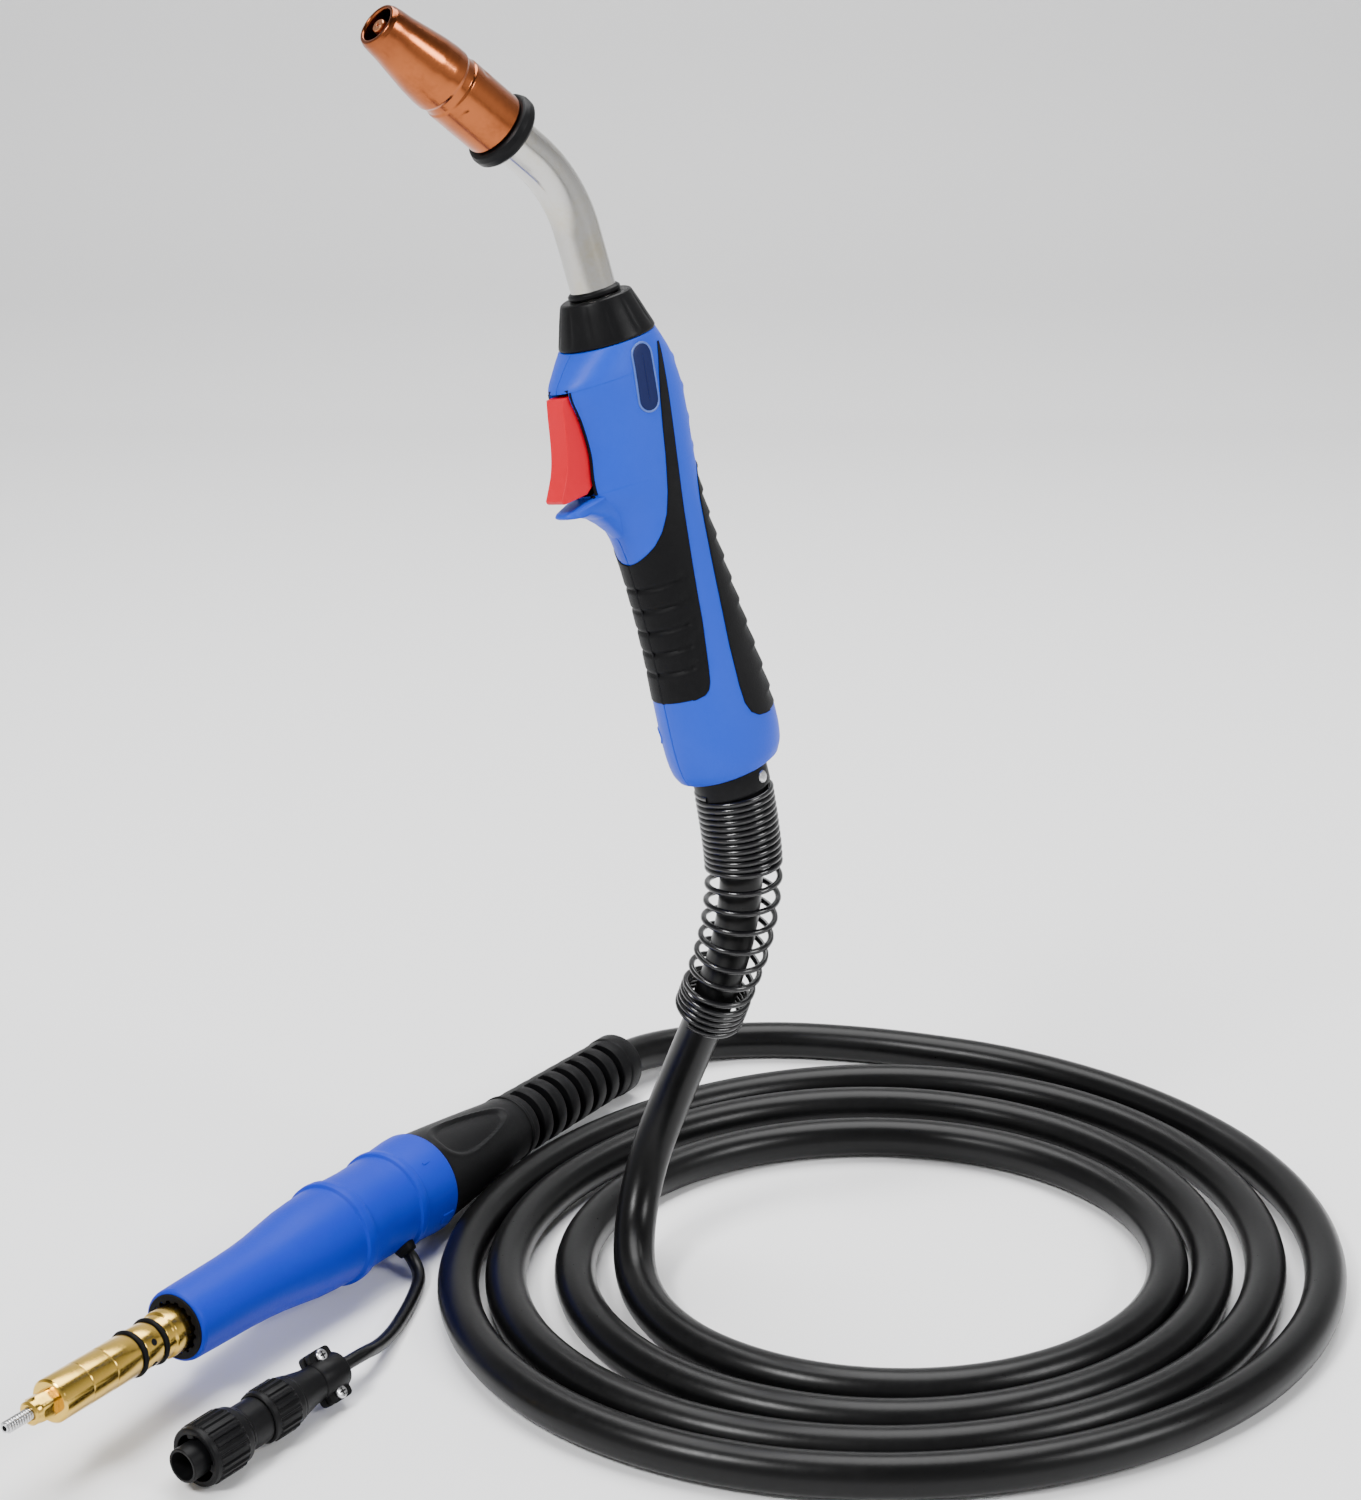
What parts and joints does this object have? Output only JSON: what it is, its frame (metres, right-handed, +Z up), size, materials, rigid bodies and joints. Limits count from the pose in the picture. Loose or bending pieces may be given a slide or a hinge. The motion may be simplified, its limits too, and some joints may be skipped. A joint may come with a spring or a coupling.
{
  "type": "mig welding torch",
  "caption": "Hand-held wire-feed welding torch with a bent neck, trigger handle, coiled power cable, brass power pin and a round control plug.",
  "frame": {"origin": "middle of the hand grip, on the handle axis, where the hand holds the torch; the floor that the cable lies on is at z = -0.286 m", "axes": "+Z up, -X the side that the neck leans to and the nozzle points to, -Y towards the person who looks at the badge side"},
  "size_m": [0.4842, 0.3727, 0.4823],
  "materials": {
    "copper": "satin",
    "brass": "satin",
    "neck_metal": "satin",
    "steel": "satin",
    "spring_steel": "gloss",
    "black_plastic": "matte",
    "blue_plastic": "satin",
    "blue_rubber": "matte",
    "black_rubber": "matte",
    "cable_rubber": "satin",
    "red_plastic": "satin",
    "badge_blue": "gloss"
  },
  "bodies": {
    "root": {"backshell_ring": "black_plastic", "badge_plate": "badge_blue", "cable_in_connector": "cable_rubber", "cable_in_handle": "cable_rubber", "clamp_body": "black_plastic", "clamp_saddle": "black_plastic", "clamp_screws": "steel", "contact_tip": "copper", "control_lead": "cable_rubber", "front_grip_left": "black_rubber", "front_grip_right": "black_rubber", "gas_diffuser": "brass", "handle_screws": "steel", "handle_shell_left": "blue_plastic", "handle_shell_right": "blue_plastic", "holder_rivet": "steel", "insulator_clip": "steel", "lead_grommet": "black_rubber", "liner_end": "steel", "liner_nut": "brass", "main_cable_coil": "cable_rubber", "main_cable_riser": "cable_rubber", "main_cable_tail": "cable_rubber", "neck_conductor": "copper", "neck_connector_block": "brass", "neck_insulation": "black_plastic", "neck_jacket": "neck_metal", "nozzle_insulator": "black_plastic", "pin_o_rings": "black_rubber", "plug_barrel": "black_plastic", "plug_body": "black_plastic", "plug_contacts": "brass", "plug_insert": "black_plastic", "power_pin": "brass", "rear_boot": "blue_rubber", "rear_cable_ferrule": "brass", "rear_grip_left": "black_rubber", "rear_grip_right": "black_rubber", "rear_housing": "black_plastic", "rear_strain_relief": "black_rubber", "spigot_ring": "black_plastic", "spring_holder": "black_plastic", "strain_relief_spring": "spring_steel", "switch_body": "black_plastic", "switch_leads": "cable_rubber", "switch_terminals": "steel", "trigger_pin": "steel", "wire_liner": "steel"},
    "nozzle": {"nozzle": "copper"},
    "lock_nut": {"handle_lock_nut": "black_plastic"},
    "trigger": {"trigger": "red_plastic"},
    "plunger": {"switch_plunger": "red_plastic"},
    "plug_ring": {"coupling_ring": "black_plastic"}
  },
  "joints": [
    {"name": "nozzle_pull", "type": "slide", "parent": "root", "child": "nozzle", "axis": [-0.6407, -0.4564, 0.6174], "range_m": [0, 0.06]},
    {"name": "lock_nut_turn", "type": "hinge", "parent": "root", "child": "lock_nut", "pos_m": [-0.02412, 0, 0.08878], "axis": [-0.2622, 0, 0.965], "range_deg": [0, 360]},
    {"name": "trigger_press", "type": "hinge", "parent": "root", "child": "trigger", "pos_m": [-0.03481, -0.01732, 0.06204], "axis": [0.6824, -0.7071, 0.1854], "range_deg": [0, 4], "stiffness_Nm_per_rad": 1.5, "springref_deg": -1.15},
    {"name": "plunger_press", "type": "slide", "parent": "root", "child": "plunger", "axis": [0.6824, 0.7071, 0.1854], "range_m": [0, 0.0016]},
    {"name": "coupling_ring_turn", "type": "hinge", "parent": "root", "child": "plug_ring", "pos_m": [-0.15614, -0.1332, -0.2746], "axis": [0.5906, 0.807, 0], "range_deg": [0, 120]}
  ],
  "couplings": [
    {"joint": "plunger_press", "follows": "trigger_press", "m_per_rad": 0.0205}
  ]
}
